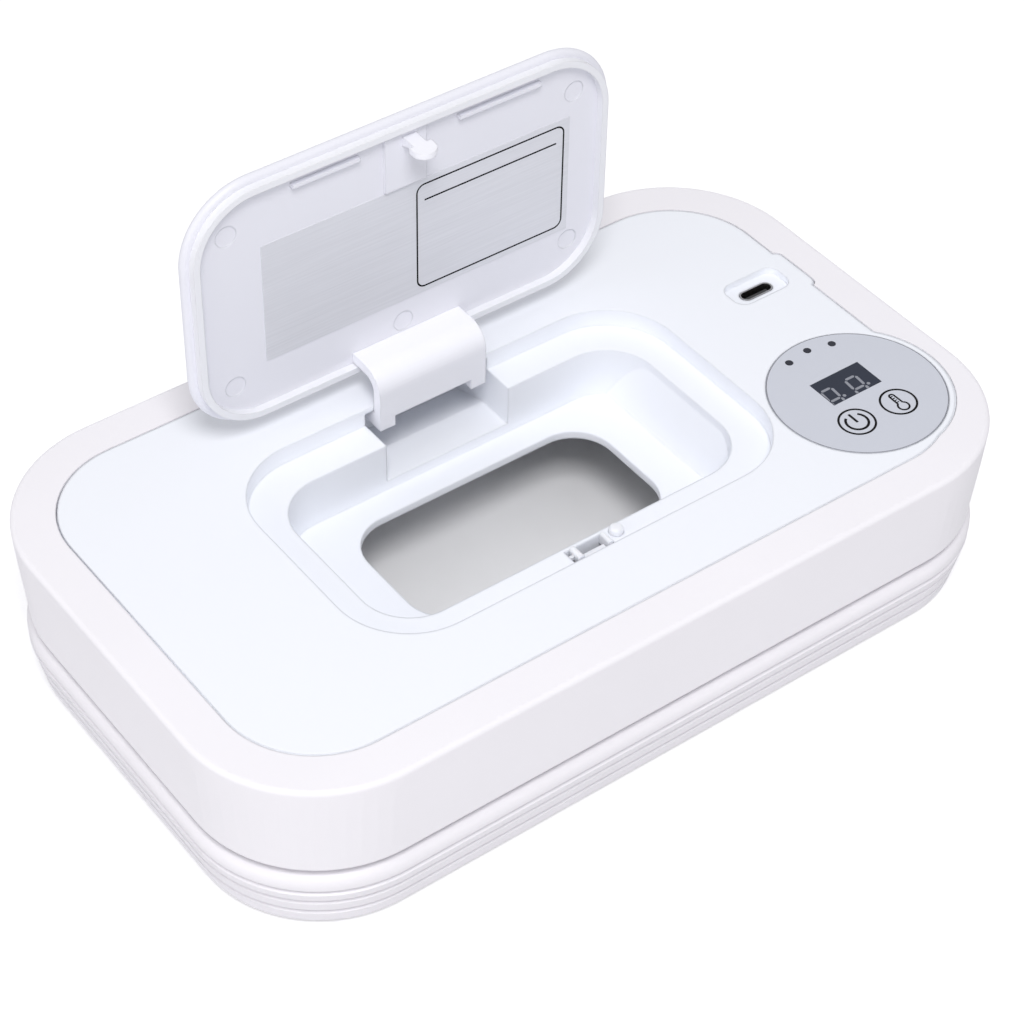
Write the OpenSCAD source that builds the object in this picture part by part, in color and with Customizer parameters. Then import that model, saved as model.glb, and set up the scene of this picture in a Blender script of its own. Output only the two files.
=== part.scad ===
// Table-top warmer for baby wipes, lid open. Millimetres, +Z up, +X to the control side,
// +Y to the hinge side. The origin is the middle of the footprint on the table.

/* [Overall] */
// Length over the rim band, along X
rim_l = 202.6; // [190:0.2:220]
// Width over the rim band, along Y
rim_w = 122.6; // [114:0.2:134]
// Height from the table to the top plate
overall_h = 43.5; // [40:0.5:54]
// Corner radius of the rim band
rim_r = 31.4; // [28:0.2:36]

/* [Rim band] */
// Width of the flat top of the band, round the plate
rim_flat = 10; // [7.5:0.5:12]
// Height of the band's outer wall
band_h = 24.8; // [20:0.2:26]
// How far the wall leans in at its lower edge
band_lean = 3; // [1.5:0.1:3.6]
// Radius of the soft outer top edge
rim_round = 2.8; // [1:0.1:4]
// Wall of the band
band_wall = 2.4; // [1.6:0.1:2.8]
// Thickness of the shelf that carries the top plate
shelf_t = 2; // [1.5:0.1:3]
// Width of the shelf that carries the top plate
shelf_w = 3.4; // [2.4:0.1:5]

/* [Top plate] */
// Thickness of the top plate
plate_t = 2.4; // [2.2:0.1:3]
// Groove between the plate and the band
plate_gap = 0.35; // [0.2:0.05:0.6]
// Depth from the plate to the ledge that the lid sits on
ledge_depth = 4.5; // [4.2:0.1:6]
// Depth from the plate to the floor round the dispensing slot
well_depth = 17.5; // [16.5:0.5:20]
// Wall of the moulded recess
recess_wall = 2; // [1.5:0.1:2.4]
// Length of the lid recess
recess_l = 110.4; // [104:0.2:114]
// Width of the lid recess
recess_w = 64.6; // [62:0.2:68]
// Corner radius of the lid recess
recess_r = 17.7; // [14:0.1:20]
// Recess centre from the plate centre, along X
recess_x = -1.1; // [-4:0.1:2]
// Recess centre from the plate centre, along Y
recess_y = -2.3; // [-4:0.1:0]
// Width of the ledge round the well
ledge_w = 7.6; // [6.6:0.1:9]
// How far the end walls of the well lean in
well_lean = 5.2; // [2:0.1:7]
// Length of the dispensing opening
mouth_l = 66; // [56:0.5:74]
// Width of the dispensing opening
mouth_w = 34.6; // [28:0.2:38]
// Corner radius of the dispensing opening
mouth_r = 10; // [6:0.5:14]

/* [Controls] */
// Radius of the grey control disc
disc_r = 20.2; // [18:0.1:21]
// Distance of the control disc from the plate's end edge
disc_in_x = 16.8; // [14:0.1:20]
// Distance of the control disc from the plate's front edge
disc_in_y = 23.2; // [21:0.1:26]
// Thickness of the control disc
disc_t = 0.8; // [0.5:0.1:1]
// Length of the display window
window_l = 14; // [10:0.2:16]
// Width of the display window
window_w = 8.2; // [6:0.2:9]
// Radius of one indicator light
led_r = 0.9; // [0.6:0.1:1.2]
// Length of the pocket round the charging socket
pocket_l = 15.6; // [13:0.2:18]
// Width of the pocket round the charging socket
pocket_w = 8.2; // [7:0.2:10]
// Depth of the pocket round the charging socket
pocket_d = 1.6; // [1:0.1:1.8]
// Width of the socket's metal shell
socket_l = 8.94; // [8.8:0.02:9.1]
// Height of the socket's metal shell
socket_w = 3.26; // [3.1:0.02:3.4]

/* [Lid] */
// Thickness of the lid panel
lid_t = 2.2; // [1.8:0.1:2.4]
// Gap between the lid and the recess at the sides and front
lid_gap = 0.45; // [0.3:0.05:0.8]
// Gap between the lid and the recess at the hinge
lid_back_gap = 0.9; // [0.7:0.05:1.2]
// How far the closed lid lies under the plate's surface
lid_sink = 0.3; // [0.1:0.1:0.4]
// Width of the hinge arm
arm_w = 28.6; // [22:0.2:32]
// Thickness of the hinge arm
arm_t = 2.4; // [2:0.1:2.6]
// Depth of the hinge arm under the hinge axis, to its inner face
arm_drop = 6.9; // [6.8:0.05:7.3]
// Reach of the hinge arm in front of the hinge axis, to its outer face
arm_reach = 13.4; // [12.6:0.1:14]
// Width of one hinge lug
lug_w = 4; // [3:0.1:5]

/* [Hinge] */
// Hinge axis behind the recess edge
axis_back = 6.6; // [6.4:0.05:6.8]
// Hinge axis under the plate's surface
axis_down = 3.6; // [3.5:0.05:3.7]
// Radius of the hinge pin
pin_r = 1; // [0.8:0.05:1.1]
// Radial clearance of the lid's lugs on the pin
pin_fit = 0.06; // [0.03:0.01:0.1]
// Wall round the pin in each lug
lug_wall = 0.84; // [0.7:0.02:0.9]
// Clearance between the arm and each ear
ear_gap = 0.4; // [0.3:0.05:0.6]
// Thickness of one hinge ear
ear_t = 1.8; // [1.4:0.1:2.2]

/* [Casing] */
// How far the casing stands in from the band's lower edge
casing_in = 1; // [0.6:0.1:2]
// Shadow gap between the band and the casing's lip
shadow_gap = 1.6; // [1:0.1:3]
// Running gap between the band's wall and the casing's neck
neck_gap = 0.9; // [0.6:0.1:1.4]
// Wall of the casing's neck
neck_wall = 2.4; // [1.8:0.1:3]
// Thickness of the casing's floor
floor_t = 2.4; // [2:0.1:3]
// Number of grooves round the casing
groove_n = 3; // [1:1:3]
// Depth of one groove
groove_d = 0.9; // [0.5:0.1:1.2]
// Height of one groove
groove_h = 1; // [0.6:0.1:1.4]
// Spacing of the grooves
groove_step = 2.6; // [2.2:0.1:3]
// Radius of one rubber foot
foot_r = 6; // [4:0.5:8]
// How far the feet stand out of the floor
foot_out = 0.8; // [0.5:0.1:1.5]
// Depth of the pocket that holds each foot
foot_in = 0.8; // [0.5:0.1:1.2]

/* [Warming frame] */
// Gap between the casing and the warming frame
frame_gap = 1.4; // [1.2:0.1:2]
// Wall of the warming frame
frame_wall = 1.6; // [1.2:0.1:2]
// Thickness of the heater foil round the frame
heater_t = 0.5; // [0.3:0.05:0.7]
// Height of the heater foil
heater_h = 18; // [10:0.5:20]
// Gap between the warming frame and the chamber floor
frame_clear = 6; // [4:0.5:10]
// Thickness of the tray that lies on the casing's floor
tray_t = 0.8; // [0.5:0.1:1.5]

/* [Hidden] */
$fn = 64;

eps = 0.01;
top_z = overall_h;
plate_z = top_z - plate_t;
shelf_z = plate_z - shelf_t;
band_z = top_z - band_h;
plate_l = rim_l - 2 * rim_flat;
plate_w = rim_w - 2 * rim_flat;
plate_r = rim_r - rim_flat;

disc_x = plate_l / 2 - disc_in_x;
disc_y = -plate_w / 2 + disc_in_y;
bulge_r = disc_r + 1.4;
seat_clear = 0.15;
// Small parts of the control disc, from its centre
window_at = [-0.2, 3.6];
keys_at = [[-6.7, -7.5], [5.2, -7.8]];
leds_at = [[6.4, 15.8], [0.3, 17.2], [-5.8, 16.3]];
// Charging socket, from the disc centre and the plate's end edge
pocket_x = plate_l / 2 - 10.8;
pocket_y = disc_y + 41.6;
pocket_round = 3;
tab_out = 1.4;
tab_l = 14;

well_l = recess_l - 2 * ledge_w;
well_w = recess_w - 2 * ledge_w - 1.2;
well_r = recess_r - ledge_w + 2;
ledge_z = top_z - ledge_depth;
well_z = top_z - well_depth;

recess_back = recess_y + recess_w / 2;
recess_front = recess_y - recess_w / 2;
axis_y = recess_back + axis_back;
axis_z = top_z - axis_down;
eye_r = pin_r + pin_fit + lug_wall;
arm_x0 = recess_x - arm_w / 2;
slot_w = arm_w + 2 * (ear_gap + ear_t);
slot_front = recess_y + well_w / 2;
slot_floor = axis_z - arm_drop - arm_t - 2;
slot_wall = 1.6;
slot_skin = 1.3;
slot_roof = top_z - slot_skin;
slot_flat = 9.5;
slot_back = axis_y + 5;
slot_fall = 3.2;
ear_r = 3.6;

lid_l = recess_l - 2 * lid_gap;
lid_w = recess_w - lid_gap - lid_back_gap;
lid_r = recess_r - lid_gap;
lid_y = recess_y + (lid_gap - lid_back_gap) / 2;
lid_top = top_z - lid_sink;
lid_under = lid_top - lid_t;
lid_back = recess_back - lid_back_gap;
lid_front = recess_front + lid_gap;
lid_open = 90;
seal_in = 1.6;
seal_w = 1.6;
seal_clear = 0.1;
foil_t = 0.15;
foil_x = 3.9;
foil_y0 = -16;
hook_y = recess_front + 5.2;
pad_w = 10.6;
pad_t = 0.8;
pad_y0 = hook_y - 1.2;
pad_y1 = hook_y + 13;
rib_t = 1;
rib_h = 1.2;
ribs_x = [[-28.2, -11.6], [13.7, 35.1]];
ejector_r = 2.5;
ejector_d = 0.25;
ejectors = [for (x = [-44, 44.4]) [x, 18], [-44, -22], [44.9, -22], [-0.7, 20.4]];
arm_bend = 5.5;
arm_y0 = axis_y - arm_reach;
arm_z0 = axis_z - arm_drop - arm_t;
foil_l = 80;
foil_w = 30.6;
hook_w = 8;
hook_t = 1.4;
hook_drop = 9;
barb = 1.1;
barb_h = 2;
catch_drop = 0.35;
catch_h = 2.2;
catch_w = 7;
catch_travel = 1.5;
catch_back = 0.4;
catch_len = 3.6;
pocket_gap_x = 1.3;
latch_x0 = recess_x - hook_w / 2 - pocket_gap_x;
latch_w = hook_w + 2 * pocket_gap_x;
latch_y0 = hook_y - barb - catch_back - 0.4;
latch_y1 = hook_y + hook_t + 0.7;
catch_z = lid_under - hook_drop + barb_h + catch_drop;
catch_x = recess_x;
latch_wall = 1.2;
spring_l = 3;
bumper_r = 1.6;
bumper_in = 1.2;
bumper_x = recess_x + 7.6;
bumper_y = recess_y - well_w / 2 - 2.2;

casing_l = rim_l - 2 * (band_lean + casing_in);
casing_w = rim_w - 2 * (band_lean + casing_in);
casing_r = rim_r - band_lean - casing_in;
neck_in = band_wall + neck_gap - casing_in;
neck_l = casing_l - 2 * neck_in;
neck_w = casing_w - 2 * neck_in;
neck_r = casing_r - neck_in;
lip_z = band_z - shadow_gap;
chamber_l = neck_l - 2 * neck_wall;
chamber_w = neck_w - 2 * neck_wall;
chamber_r = neck_r - neck_wall;
floor_z = foot_out + floor_t;
lip_round = 2.6;
base_round = 1.2;
groove_z0 = foot_out + 2.6;

frame_l = chamber_l - 2 * frame_gap;
frame_w = chamber_w - 2 * frame_gap;
frame_r = chamber_r - frame_gap;
frame_z = floor_z + frame_clear;
heater_z = frame_z + 2;

board_t = 1.6;
board_gap = 2;
board_z = plate_z - board_gap - board_t;
board_r = 14;
post_r = 1.6;
posts_at = [[-10, -3.5], [9.6, -3], [-6.6, 12], [6.8, 11.4]];
key_r = 2.4;
led_fit = 0.05;
shell_t = 0.3;
shell_l = 6.6;
tongue_l = 6.7;
tongue_t = 0.7;
socket_z = top_z - pocket_d - shell_l;
socket_board_l = 16.6;
socket_board_w = 8;
socket_post_x = 6.6;
probe = [8, 2.2, 3.4];

function arc_points(cx, cy, r, a0, a1, n) =
    [for (i = [0:n]) let (a = a0 + (a1 - a0) * i / n) [cx + r * cos(a), cy + r * sin(a)]];

module rounded_outline(l, w, r) {
    square([l - 2 * r, w], center = true);
    square([l, w - 2 * r], center = true);
    for (x = [-1, 1], y = [-1, 1])
        translate([x * (l / 2 - r), y * (w / 2 - r)]) circle(r);
}

module rounded_block(l, w, r, z0, z1) {
    translate([0, 0, z0]) linear_extrude(z1 - z0) rounded_outline(l, w, r);
}

// A solid whose edge follows the profile child: x is the distance from the corner's centre
module rounded_sweep(l, w, r, z0, z1) {
    translate([-l / 2 + r, -w / 2 + r, z0]) cube([l - 2 * r, w - 2 * r, z1 - z0]);
    for (k = [0:3]) {
        a = k % 2 == 0 ? l : w;
        b = k % 2 == 0 ? w : l;
        rotate([0, 0, 90 * k]) {
            translate([a / 2 - r, b / 2 - r, 0]) rotate_extrude(angle = 90, $fn = 96) children();
            translate([a / 2 - r, b / 2 - r, 0]) rotate([90, 0, 0]) linear_extrude(b - 2 * r) children();
        }
    }
}

// Outline of the top plate, with the lobe round the disc and the tab at the socket
module plate_outline(grow) {
    rounded_outline(plate_l + 2 * grow, plate_w + 2 * grow, plate_r + grow);
    translate([disc_x, disc_y]) circle(bulge_r + grow);
    translate([plate_l / 2 - 5, pocket_y]) rounded_outline(2 * (5 + tab_out + grow), tab_l + 2 * grow, 2);
}

module recess_outline(grow) {
    translate([recess_x, recess_y]) rounded_outline(recess_l + 2 * grow, recess_w + 2 * grow, recess_r + grow);
}

module well_outline(grow) {
    translate([recess_x, recess_y]) rounded_outline(well_l + 2 * grow, well_w + 2 * grow, well_r + grow);
}

// The well with its two leaning end walls, between two heights
module well_space(grow, z0, z1) {
    difference() {
        translate([0, 0, z0]) linear_extrude(z1 - z0) well_outline(grow);
        for (s = [-1, 1])
            translate([recess_x, recess_y + well_w, 0]) rotate([90, 0, 0])
                linear_extrude(2 * well_w)
                    polygon([[s * (well_l / 2 + grow), ledge_z - recess_wall],
                        [s * (well_l / 2 + grow + 9), ledge_z - recess_wall],
                        [s * (well_l / 2 + grow + 9), z0 - 1],
                        [s * (well_l / 2 + grow - well_lean), z0 - 1]]);
    }
}

module casing_profile() {
    lip_r = casing_r;
    polygon(concat(
        [[0, foot_out]],
        arc_points(lip_r - base_round, foot_out + base_round, base_round, -90, 0, 4),
        [for (i = [0:groove_n - 1], p = [[0, -0.5], [-1, -0.2], [-1, 0.2], [0, 0.5]])
            [lip_r + p[0] * groove_d, groove_z0 + i * groove_step + p[1] * groove_h]],
        arc_points(lip_r - lip_round, lip_z - lip_round, lip_round, 0, 90, 8),
        [[neck_r, lip_z], [neck_r, shelf_z], [0, shelf_z]]));
}

module casing() color("gainsboro") difference() {
    rounded_sweep(casing_l, casing_w, casing_r, foot_out, shelf_z) casing_profile();
    rounded_block(chamber_l, chamber_w, chamber_r, floor_z, shelf_z + 1);
    for (p = foot_places)
        translate([p[0], p[1], foot_out - eps]) cylinder(r = foot_r + seat_clear, h = foot_in + eps);
}

foot_places = [for (x = [-1, 1], y = [-1, 1])
    [x * (casing_l / 2 - casing_r + 4), y * (casing_w / 2 - casing_r + 12)]];

module foot(i) color("dimgray") translate([foot_places[i][0], foot_places[i][1], 0])
    rotate_extrude() polygon([[0, 0], [foot_r - 0.6, 0], [foot_r, 0.6],
        [foot_r, foot_out + foot_in], [0, foot_out + foot_in]]);

module tray() color("lightgray") difference() {
    rounded_block(chamber_l - 0.6, chamber_w - 0.6, chamber_r - 0.3, floor_z, floor_z + tray_t + 2.6);
    rounded_block(chamber_l - 0.6 - 2 * tray_t, chamber_w - 0.6 - 2 * tray_t, chamber_r - 0.3 - tray_t,
        floor_z + tray_t, floor_z + 9);
}

module band() color("seashell") difference() {
    rounded_sweep(rim_l, rim_w, rim_r, band_z, top_z)
        polygon(concat([[0, band_z], [rim_r - band_lean, band_z]],
            arc_points(rim_r - rim_round, top_z - rim_round, rim_round, 0, 90, 10),
            [[0, top_z]]));
    rounded_sweep(rim_l, rim_w, rim_r, band_z - 1, shelf_z)
        polygon([[0, band_z - 1], [rim_r - band_lean - band_wall, band_z - 1],
            [rim_r - band_lean - band_wall, band_z + 2],
            [rim_r - band_lean / 2 - band_wall, shelf_z], [0, shelf_z]]);
    translate([0, 0, plate_z]) linear_extrude(plate_t + 1) plate_outline(plate_gap);
    translate([0, 0, shelf_z - 1]) linear_extrude(shelf_t + 2) plate_outline(-shelf_w);
}

// Hinge slot: a flat floor in front, then a slope that falls to the back
module slot_shape(grow, roof, front) {
    translate([recess_x - slot_w / 2 - grow, 0, 0]) rotate([90, 0, 90]) linear_extrude(slot_w + 2 * grow)
        polygon([[front, slot_floor - grow], [slot_front + slot_flat, slot_floor - grow],
            [slot_back + grow, slot_floor - slot_fall - grow], [slot_back + grow, roof], [front, roof]]);
}

module stadium(l, w) {
    square([l - w, w], center = true);
    for (s = [-1, 1]) translate([s * (l - w) / 2, 0]) circle(w / 2);
}

module plate_shell() difference() {
    union() {
        translate([0, 0, plate_z]) linear_extrude(plate_t) plate_outline(0);
        translate([0, 0, ledge_z - recess_wall]) linear_extrude(ledge_depth + recess_wall - 1)
            recess_outline(recess_wall);
        well_space(recess_wall, well_z - recess_wall, ledge_z - eps);
        slot_shape(slot_wall, plate_z + 0.5, slot_front);
        for (p = posts_at) translate([disc_x + p[0], disc_y + p[1], board_z + board_t])
            cylinder(r = post_r, h = board_gap + 0.5, $fn = 24);
        for (x = [-1, 1]) translate([pocket_x + x * socket_post_x, pocket_y, socket_z])
            cylinder(r = post_r, h = plate_z - socket_z + 0.5, $fn = 24);
        translate([pocket_x, pocket_y, top_z - pocket_d - 1.6])
            linear_extrude(pocket_d) rounded_outline(pocket_l + 3, pocket_w + 3, pocket_round + 1.5);
    }
    translate([0, 0, ledge_z]) linear_extrude(ledge_depth + 1) recess_outline(0);
    well_space(0, well_z, ledge_z + 1);
    translate([recess_x, recess_y, 0])
        rounded_block(mouth_l, mouth_w, mouth_r, well_z - recess_wall - 1, well_z + 1);
    slot_shape(0, ledge_z + 1, slot_front - 1);
    translate([recess_x - slot_w / 2, slot_front, ledge_z])
        cube([slot_w, slot_back - slot_front, slot_roof - ledge_z]);
    translate([disc_x, disc_y, top_z - disc_t]) cylinder(r = disc_r + seat_clear, h = disc_t + 1, $fn = 96);
    translate([disc_x + window_at[0], disc_y + window_at[1], plate_z - 1])
        linear_extrude(plate_t + 2) square([window_l - 2, window_w - 2], center = true);
    for (p = leds_at)
        translate([disc_x + p[0], disc_y + p[1], plate_z - 1])
            cylinder(r = led_r + led_fit, h = plate_t + 2, $fn = 24);
    translate([pocket_x, pocket_y, top_z - pocket_d])
        linear_extrude(pocket_d + 1) rounded_outline(pocket_l, pocket_w, pocket_round);
    translate([pocket_x, pocket_y, plate_z - 3])
        linear_extrude(plate_t + 3) stadium(socket_l + 2 * seat_clear, socket_w + 2 * seat_clear);
    translate([latch_x0, latch_y0, lid_under - hook_drop - 1])
        cube([latch_w, latch_y1 - latch_y0, hook_drop + 3]);
    translate([bumper_x, bumper_y, ledge_z - bumper_in]) cylinder(r = bumper_r + led_fit, h = 3, $fn = 32);
}

// Ears that carry the hinge pin, one at each side of the slot
module hinge_ears() for (x = [recess_x - slot_w / 2 - eps, recess_x + slot_w / 2 - ear_t])
    translate([x, 0, 0]) rotate([90, 0, 90]) linear_extrude(ear_t + eps) {
        translate([axis_y, axis_z]) intersection() {
            circle(ear_r);
            translate([-ear_r, -ear_r - 1]) square([2 * ear_r, ear_r + 1 + slot_roof - axis_z + eps]);
        }
    }

module top_plate() color("white") difference() {
    union() {
        plate_shell();
        hinge_ears();
    }
    along_axis(recess_x - slot_w / 2 - 1, slot_w + 2) circle(pin_r);
}

// Extrudes a shape drawn round the hinge axis, from x0 over a length
module along_axis(x0, len) translate([x0, axis_y, axis_z]) rotate([90, 0, 90]) linear_extrude(len) children();

module hinge_pin() color("silver") along_axis(recess_x - slot_w / 2 - 1, slot_w + 2) circle(pin_r);

// A close-wound coil, drawn as a tube with one rounded crest for each turn
module coil(r_in, r_out, len, turns) {
    pitch = len / turns;
    rotate_extrude($fn = 32) polygon(concat([[r_in, 0]],
        [for (i = [0:turns - 1], a = [0, 60, 90, 120, 180])
            [(r_in + r_out) / 2 + (r_out - r_in) / 2 * sin(a), pitch * (i + 0.5 - 0.49 * cos(a))]],
        [[r_in, len]]));
}

module hinge_spring() color("silver") translate([recess_x - 6, axis_y, axis_z]) rotate([0, 90, 0])
    coil(pin_r + 0.1, pin_r + 0.9, 12, 10);

module warming_frame() color("whitesmoke") difference() {
    rounded_block(frame_l, frame_w, frame_r, frame_z, shelf_z);
    rounded_block(frame_l - 2 * frame_wall, frame_w - 2 * frame_wall, frame_r - frame_wall,
        frame_z - 1, shelf_z + 1);
}

module heater_foil() color("goldenrod") difference() {
    rounded_block(frame_l + 2 * heater_t, frame_w + 2 * heater_t, frame_r + heater_t, heater_z, heater_z + heater_h);
    rounded_block(frame_l, frame_w, frame_r, heater_z - 1, heater_z + heater_h + 1);
}

module temperature_probe() color("black")
    translate([recess_x - probe[0] / 2, frame_w / 2 - frame_wall - probe[1], heater_z + 2]) cube(probe);

module control_disc() color("lightsteelblue") difference() {
    translate([disc_x, disc_y, top_z - disc_t]) cylinder(r = disc_r, h = disc_t, $fn = 96);
    translate([disc_x + window_at[0], disc_y + window_at[1], top_z - disc_t - 1]) linear_extrude(disc_t + 2)
        square([window_l + 2 * led_fit, window_w + 2 * led_fit], center = true);
    for (p = leds_at) translate([disc_x + p[0], disc_y + p[1], top_z - disc_t - 1])
        cylinder(r = led_r + led_fit, h = disc_t + 2, $fn = 24);
}

module display_window() color("darkslategray")
    translate([disc_x + window_at[0], disc_y + window_at[1], top_z - disc_t])
        linear_extrude(disc_t) square([window_l, window_w], center = true);

module display_module() color("dimgray")
    translate([disc_x + window_at[0], disc_y + window_at[1], board_z + board_t])
        linear_extrude(board_gap) square([window_l + 0.6, window_w + 0.6], center = true);

module led(i) color("black") translate([disc_x + leds_at[i][0], disc_y + leds_at[i][1], board_z + board_t])
    rotate_extrude($fn = 24) polygon([[0, 0], [led_r + 0.6, 0], [led_r + 0.6, 1.2], [led_r, 1.2],
        [led_r, top_z - board_z - board_t], [0, top_z - board_z - board_t]]);

module touch_spring(i) color("gold")
    translate([disc_x + keys_at[i][0], disc_y + keys_at[i][1], board_z + board_t])
        coil(key_r - 0.8, key_r, board_gap, 3);

module control_board() color("seagreen") translate([disc_x, disc_y, board_z]) linear_extrude(board_t) {
    circle(board_r);
    translate([-9, 0]) square([18, 19]);
}

module socket_shell() color("silver") translate([pocket_x, pocket_y, socket_z]) linear_extrude(shell_l)
    difference() {
        stadium(socket_l, socket_w);
        stadium(socket_l - 2 * shell_t, socket_w - 2 * shell_t);
    }

module socket_tongue() color("dimgray") translate([pocket_x, pocket_y, socket_z])
    linear_extrude(shell_l - 1) square([tongue_l, tongue_t], center = true);

module socket_board() color("seagreen") translate([pocket_x, pocket_y, socket_z - board_t])
    linear_extrude(board_t) square([socket_board_l, socket_board_w], center = true);

module latch_case() color("whitesmoke") difference() {
    translate([catch_x - catch_w / 2 - 1.6, latch_y0 - catch_len - spring_l - latch_wall, catch_z - 1.4])
        cube([catch_w + 3.2, catch_len + spring_l + latch_wall, ledge_z - recess_wall - catch_z + 1.4]);
    translate([catch_x - catch_w / 2 - 0.2, latch_y0 - catch_len - spring_l, catch_z - 0.1])
        cube([catch_w + 0.4, catch_len + spring_l + 1, 10]);
}

module latch_spring() color("silver")
    translate([catch_x, latch_y0 - catch_len, catch_z + catch_h / 2]) rotate([90, 0, 0])
        coil(0.5, 1, spring_l, 4);

module latch_catch() color("aliceblue") translate([catch_x - catch_w / 2, 0, 0])
    rotate([90, 0, 90]) linear_extrude(catch_w) polygon([[latch_y0 - catch_len, catch_z],
        [latch_y0 - 0.1, catch_z], [latch_y0 - 0.1, catch_z + catch_h * 0.45],
        [latch_y0 - 1.3, catch_z + catch_h], [latch_y0 - catch_len, catch_z + catch_h]]);

module lid_bumper() color("aliceblue") translate([bumper_x, bumper_y, ledge_z - bumper_in])
    rotate_extrude($fn = 32) polygon(concat([[0, 0], [bumper_r, 0]],
        arc_points(bumper_r - 0.8, bumper_in + 0.7, 0.8, 0, 90, 5), [[0, bumper_in + 1.5]]));

// Turns a piece of the closed lid to its open position
module opened() translate([0, axis_y, axis_z]) rotate([-lid_open, 0, 0]) translate([0, -axis_y, -axis_z])
    children();

module lid_panel() color("whitesmoke") opened() difference() {
    union() {
        translate([recess_x, lid_y, 0]) rounded_sweep(lid_l, lid_w, lid_r, lid_under, lid_top)
            polygon(concat([[0, lid_under]],
                arc_points(lid_r - lid_t / 2, lid_under + lid_t / 2, lid_t / 2, -90, 90, 8), [[0, lid_top]]));
        translate([recess_x - pad_w / 2, pad_y0, lid_under - pad_t]) cube([pad_w, pad_y1 - pad_y0, pad_t + 1]);
        for (x = ribs_x) translate([recess_x + x[0], hook_y + 0.6, lid_under - rib_h])
            cube([x[1] - x[0], rib_t, rib_h + 1]);
    }
    for (p = ejectors) translate([recess_x + p[0], p[1], lid_under - 1])
        cylinder(r = ejector_r, h = 1 + ejector_d, $fn = 32);
}

module lid_arm() color("whitesmoke") opened() difference() {
    union() {
        translate([arm_x0, 0, 0]) rotate([90, 0, 90]) linear_extrude(arm_w) polygon(concat(
            [[arm_y0, lid_under]],
            arc_points(arm_y0 + arm_bend, arm_z0 + arm_bend, arm_bend, 180, 270, 10),
            [[axis_y - 0.8, arm_z0], [axis_y - 0.8, arm_z0 + arm_t]],
            arc_points(arm_y0 + arm_bend, arm_z0 + arm_bend, arm_bend - arm_t, 270, 180, 10),
            [[arm_y0 + arm_t, lid_under]]));
        for (x = [arm_x0, arm_x0 + arm_w - lug_w]) along_axis(x, lug_w) {
            circle(eye_r);
            translate([-eye_r, arm_z0 - axis_z]) square([2 * eye_r, axis_z - arm_z0]);
        }
    }
    along_axis(arm_x0 - 1, arm_w + 2) circle(pin_r + pin_fit);
}

module lid_seal() color("white") opened() difference() {
    translate([recess_x, lid_y, 0]) rounded_block(lid_l - 2 * seal_in, lid_w - 2 * seal_in, lid_r - seal_in,
        ledge_z + seal_clear, lid_under);
    translate([recess_x, lid_y, 0]) rounded_block(lid_l - 2 * (seal_in + seal_w),
        lid_w - 2 * (seal_in + seal_w), lid_r - seal_in - seal_w, ledge_z - 1, lid_top);
}

module lid_foil() color("silver") opened()
    translate([recess_x + foil_x - foil_l / 2, foil_y0, lid_under - foil_t]) cube([foil_l, foil_w, foil_t]);

// The hook under the lid, with its barb to the front
module lid_hook() color("whitesmoke") opened() translate([recess_x - hook_w / 2, 0, 0])
    rotate([90, 0, 90]) linear_extrude(hook_w) {
        base = lid_under - pad_t;
        tip = lid_under - hook_drop;
        polygon([[hook_y, base], [hook_y, tip + barb_h], [hook_y - barb, tip + barb_h],
            [hook_y - barb, tip + barb_h - 0.6], [hook_y, tip], [hook_y + hook_t, tip],
            [hook_y + hook_t, base - 1.6], [hook_y + hook_t + 1.6, base]]);
    }

casing();
tray();
foot(0);  // foot_0
foot(1);  // foot_1
foot(2);  // foot_2
foot(3);  // foot_3
band();
top_plate();
warming_frame();
heater_foil();
temperature_probe();
control_disc();
display_window();
display_module();
led(0);  // led_0
led(1);  // led_1
led(2);  // led_2
touch_spring(0);  // touch_spring_0
touch_spring(1);  // touch_spring_1
control_board();
socket_shell();
socket_tongue();
socket_board();
hinge_pin();
hinge_spring();
latch_case();
latch_spring();
lid_bumper();
latch_catch();
lid_panel();
lid_arm();
lid_seal();
lid_foil();
lid_hook();
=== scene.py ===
"""A table-top warmer for baby wipes with its lid open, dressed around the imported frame."""

import math

import bmesh
import bpy
from mathutils import Matrix, Vector


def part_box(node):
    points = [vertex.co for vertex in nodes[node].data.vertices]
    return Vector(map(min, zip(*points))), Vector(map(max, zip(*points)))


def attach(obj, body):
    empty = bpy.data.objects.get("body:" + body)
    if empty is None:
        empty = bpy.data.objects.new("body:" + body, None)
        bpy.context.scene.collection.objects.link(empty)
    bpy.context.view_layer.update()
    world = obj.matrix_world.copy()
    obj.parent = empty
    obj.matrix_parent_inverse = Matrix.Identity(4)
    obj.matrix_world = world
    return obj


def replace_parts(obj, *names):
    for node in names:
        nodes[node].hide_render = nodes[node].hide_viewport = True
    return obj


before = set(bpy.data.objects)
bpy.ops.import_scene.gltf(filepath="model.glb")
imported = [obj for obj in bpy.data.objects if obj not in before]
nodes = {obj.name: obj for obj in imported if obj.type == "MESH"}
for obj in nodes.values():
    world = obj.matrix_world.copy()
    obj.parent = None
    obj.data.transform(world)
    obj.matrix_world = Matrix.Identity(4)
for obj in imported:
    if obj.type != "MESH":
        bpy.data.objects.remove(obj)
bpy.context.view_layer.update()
MM = 0.001


# Camera
# It stands where the photographer stood: over the front left corner, with a long lens.
# The place, turn and lens follow from the outlines of the plate and the disc in the photograph.
VIEW_AZIMUTH = math.radians(-37.42)
VIEW_ELEVATION = math.radians(43.28)
VIEW_ROLL = math.radians(1.26)
VIEW_DISTANCE = 617.3 * MM
VIEW_TARGET = Vector((2.51, 2.55, 22.92)) * MM
FOCAL_PIXELS = 2789.4
IMAGE_PIXELS = 1024
SENSOR_WIDTH = 36.0
CLIP_START = 10 * MM

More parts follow.
